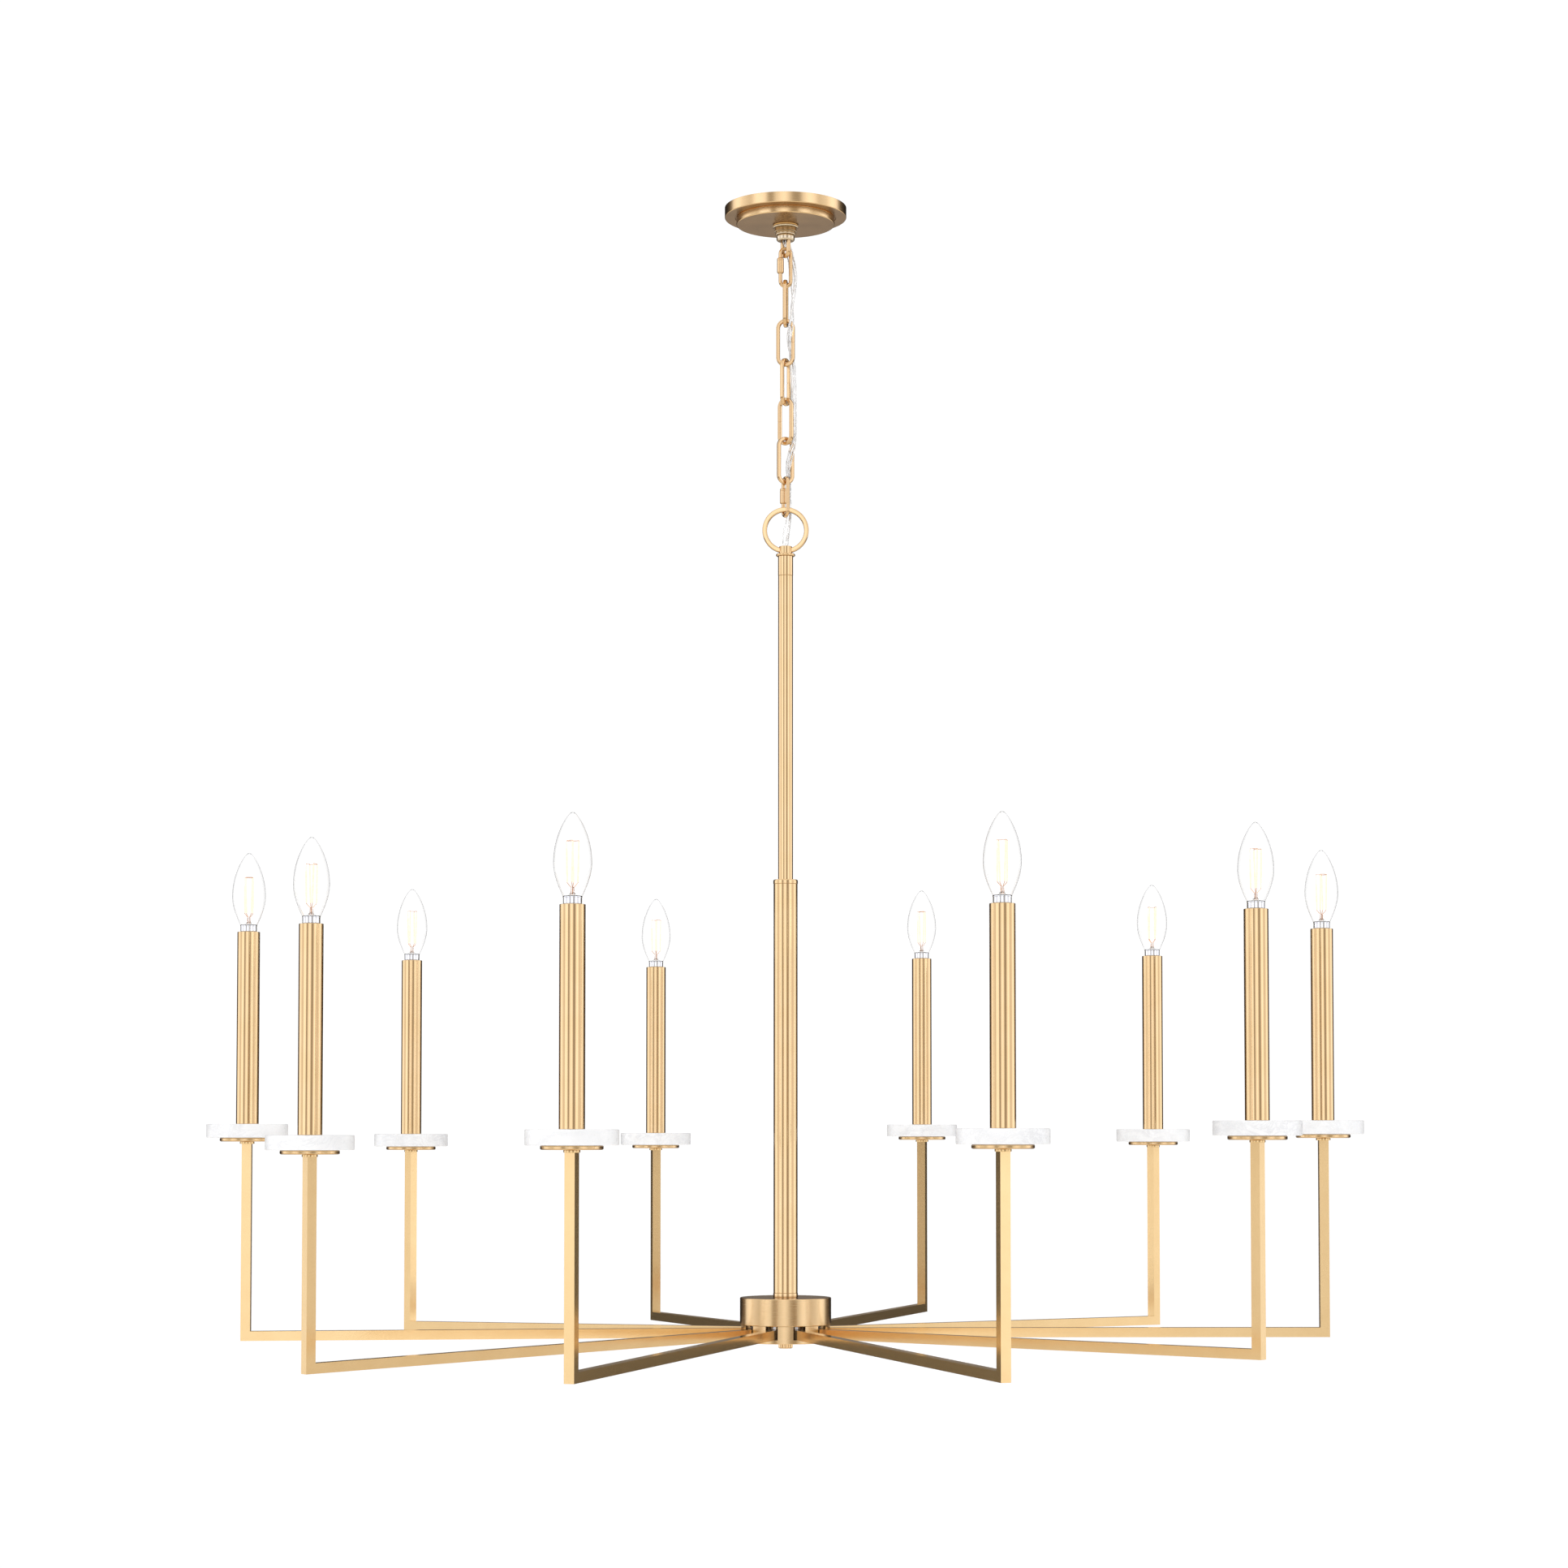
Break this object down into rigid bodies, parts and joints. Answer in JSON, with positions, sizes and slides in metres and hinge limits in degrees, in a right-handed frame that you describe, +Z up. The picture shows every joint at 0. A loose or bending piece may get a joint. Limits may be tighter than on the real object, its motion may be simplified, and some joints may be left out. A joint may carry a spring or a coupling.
{
  "type": "multi arm chandelier",
  "caption": "Chandelier of square brass arms round a slotted hub, each with a stone disc and a candle lamp, hung by a stem and chain from a canopy.",
  "frame": {"origin": "centre of the canopy's top face, at the ceiling, midway between the two ceiling screws", "axes": "+Z up towards the ceiling, -Y to the front, +X to the right; the crossbar's screws lie along X"},
  "size_m": [1.2167, 1.1611, 1.2164],
  "materials": {
    "satin_brass": "satin, finely brushed",
    "pale_brass": "polished, pale",
    "alabaster": "honed, faint grey veins",
    "bulb_glass": "clear",
    "clear_cord": "clear plastic over stranded wire",
    "ground_wire": "thin clear sheath over fine wire",
    "zinc_steel": "zinc plated",
    "nickel_cap": "nickel plated",
    "lit_filament": "phosphor stick, lit"
  },
  "bodies": {
    "ceiling_canopy": {"canopy": "satin_brass", "ceiling_crossbar": "zinc_steel", "canopy_ring_nut": "pale_brass", "canopy_loop": "pale_brass", "power_cord": "clear_cord", "ground_wire": "ground_wire"},
    "top_quick_link": {"top_quick_link": "satin_brass"},
    "chain_link_1": {"chain_link_1": "satin_brass"},
    "chain_link_2": {"chain_link_2": "satin_brass"},
    "chain_link_3": {"chain_link_3": "satin_brass"},
    "chain_link_4": {"chain_link_4": "satin_brass"},
    "chain_link_5": {"chain_link_5": "satin_brass"},
    "bottom_quick_link": {"bottom_quick_link": "satin_brass"},
    "fixture": {"hanging_ring": "satin_brass", "upper_stem": "satin_brass", "lower_stem": "satin_brass", "hub_drum": "satin_brass", "hub_base": "satin_brass", "pivot_screws": "zinc_steel", "finial": "satin_brass"},
    "arm_01": {"arm_01": "satin_brass", "candle_01": "satin_brass", "disc_01": "alabaster", "bulb_01": "bulb_glass"},
    "arm_02": {"arm_02": "satin_brass", "candle_02": "satin_brass", "disc_02": "alabaster", "bulb_02": "bulb_glass"},
    "arm_03": {"arm_03": "satin_brass", "candle_03": "satin_brass", "disc_03": "alabaster", "bulb_03": "bulb_glass"},
    "arm_04": {"arm_04": "satin_brass", "candle_04": "satin_brass", "disc_04": "alabaster", "bulb_04": "bulb_glass"},
    "arm_05": {"arm_05": "satin_brass", "candle_05": "satin_brass", "disc_05": "alabaster", "bulb_05": "bulb_glass"},
    "arm_06": {"arm_06": "satin_brass", "candle_06": "satin_brass", "disc_06": "alabaster", "bulb_06": "bulb_glass"},
    "arm_07": {"arm_07": "satin_brass", "candle_07": "satin_brass", "disc_07": "alabaster", "bulb_07": "bulb_glass"},
    "arm_08": {"arm_08": "satin_brass", "candle_08": "satin_brass", "disc_08": "alabaster", "bulb_08": "bulb_glass"},
    "arm_09": {"arm_09": "satin_brass", "candle_09": "satin_brass", "disc_09": "alabaster", "bulb_09": "bulb_glass"},
    "arm_10": {"arm_10": "satin_brass", "candle_10": "satin_brass", "disc_10": "alabaster", "bulb_10": "bulb_glass"}
  },
  "joints": [
    {"name": "top_quick_link_swing", "type": "hinge", "parent": "ceiling_canopy", "child": "top_quick_link", "pos_m": [0, 0, -0.0519], "axis": [0.5299, -0.848, 0], "range_deg": [-10, 10], "deforming": ["power_cord", "ground_wire"]},
    {"name": "chain_link_1_swing", "type": "hinge", "parent": "top_quick_link", "child": "chain_link_1", "pos_m": [0, 0, -0.0845], "axis": [0.9962, 0.0872, 0], "range_deg": [-10, 10]},
    {"name": "chain_link_2_swing", "type": "hinge", "parent": "chain_link_1", "child": "chain_link_2", "pos_m": [0, 0, -0.1268], "axis": [0.1219, 0.9925, 0], "range_deg": [-10, 10]},
    {"name": "chain_link_3_swing", "type": "hinge", "parent": "chain_link_2", "child": "chain_link_3", "pos_m": [0, 0, -0.1691], "axis": [0.9925, -0.1219, 0], "range_deg": [-10, 10]},
    {"name": "chain_link_4_swing", "type": "hinge", "parent": "chain_link_3", "child": "chain_link_4", "pos_m": [0, 0, -0.2114], "axis": [0.454, 0.891, 0], "range_deg": [-10, 10]},
    {"name": "chain_link_5_swing", "type": "hinge", "parent": "chain_link_4", "child": "chain_link_5", "pos_m": [0, 0, -0.2537], "axis": [0.766, -0.6428, 0], "range_deg": [-10, 10]},
    {"name": "bottom_quick_link_swing", "type": "hinge", "parent": "chain_link_5", "child": "bottom_quick_link", "pos_m": [0, 0, -0.296], "axis": [0.8829, 0.4695, 0], "range_deg": [-10, 10]},
    {"name": "fixture_swing", "type": "hinge", "parent": "bottom_quick_link", "child": "fixture", "pos_m": [0, 0, -0.3314], "axis": [0.4384, -0.8988, 0], "range_deg": [-6, 6]},
    {"name": "arm_01_swivel", "type": "hinge", "parent": "fixture", "child": "arm_01", "pos_m": [0.01082, -0.03329, -1.1974], "axis": [0, 0, 1], "range_deg": [-8.8, 4.2]},
    {"name": "arm_02_swivel", "type": "hinge", "parent": "fixture", "child": "arm_02", "pos_m": [0.02832, -0.02057, -1.1974], "axis": [0, 0, 1], "range_deg": [-5, 8]},
    {"name": "arm_03_swivel", "type": "hinge", "parent": "fixture", "child": "arm_03", "pos_m": [0.035, 0, -1.1974], "axis": [0, 0, 1], "range_deg": [-5.5, 7.5]},
    {"name": "arm_04_swivel", "type": "hinge", "parent": "fixture", "child": "arm_04", "pos_m": [0.02832, 0.02057, -1.1974], "axis": [0, 0, 1], "range_deg": [-11.6, 1.4]},
    {"name": "arm_05_swivel", "type": "hinge", "parent": "fixture", "child": "arm_05", "pos_m": [0.01082, 0.03329, -1.1974], "axis": [0, 0, 1], "range_deg": [-7.5, 5.5]},
    {"name": "arm_06_swivel", "type": "hinge", "parent": "fixture", "child": "arm_06", "pos_m": [-0.01082, 0.03329, -1.1974], "axis": [0, 0, 1], "range_deg": [-4.6, 8.4]},
    {"name": "arm_07_swivel", "type": "hinge", "parent": "fixture", "child": "arm_07", "pos_m": [-0.02832, 0.02057, -1.1974], "axis": [0, 0, 1], "range_deg": [-2.6, 10.4]},
    {"name": "arm_08_swivel", "type": "hinge", "parent": "fixture", "child": "arm_08", "pos_m": [-0.035, 0, -1.1974], "axis": [0, 0, 1], "range_deg": [-8.1, 4.9]},
    {"name": "arm_09_swivel", "type": "hinge", "parent": "fixture", "child": "arm_09", "pos_m": [-0.02832, -0.02057, -1.1974], "axis": [0, 0, 1], "range_deg": [-7.2, 5.8]},
    {"name": "arm_10_swivel", "type": "hinge", "parent": "fixture", "child": "arm_10", "pos_m": [-0.01082, -0.03329, -1.1974], "axis": [0, 0, 1], "range_deg": [-4.6, 8.4]}
  ]
}
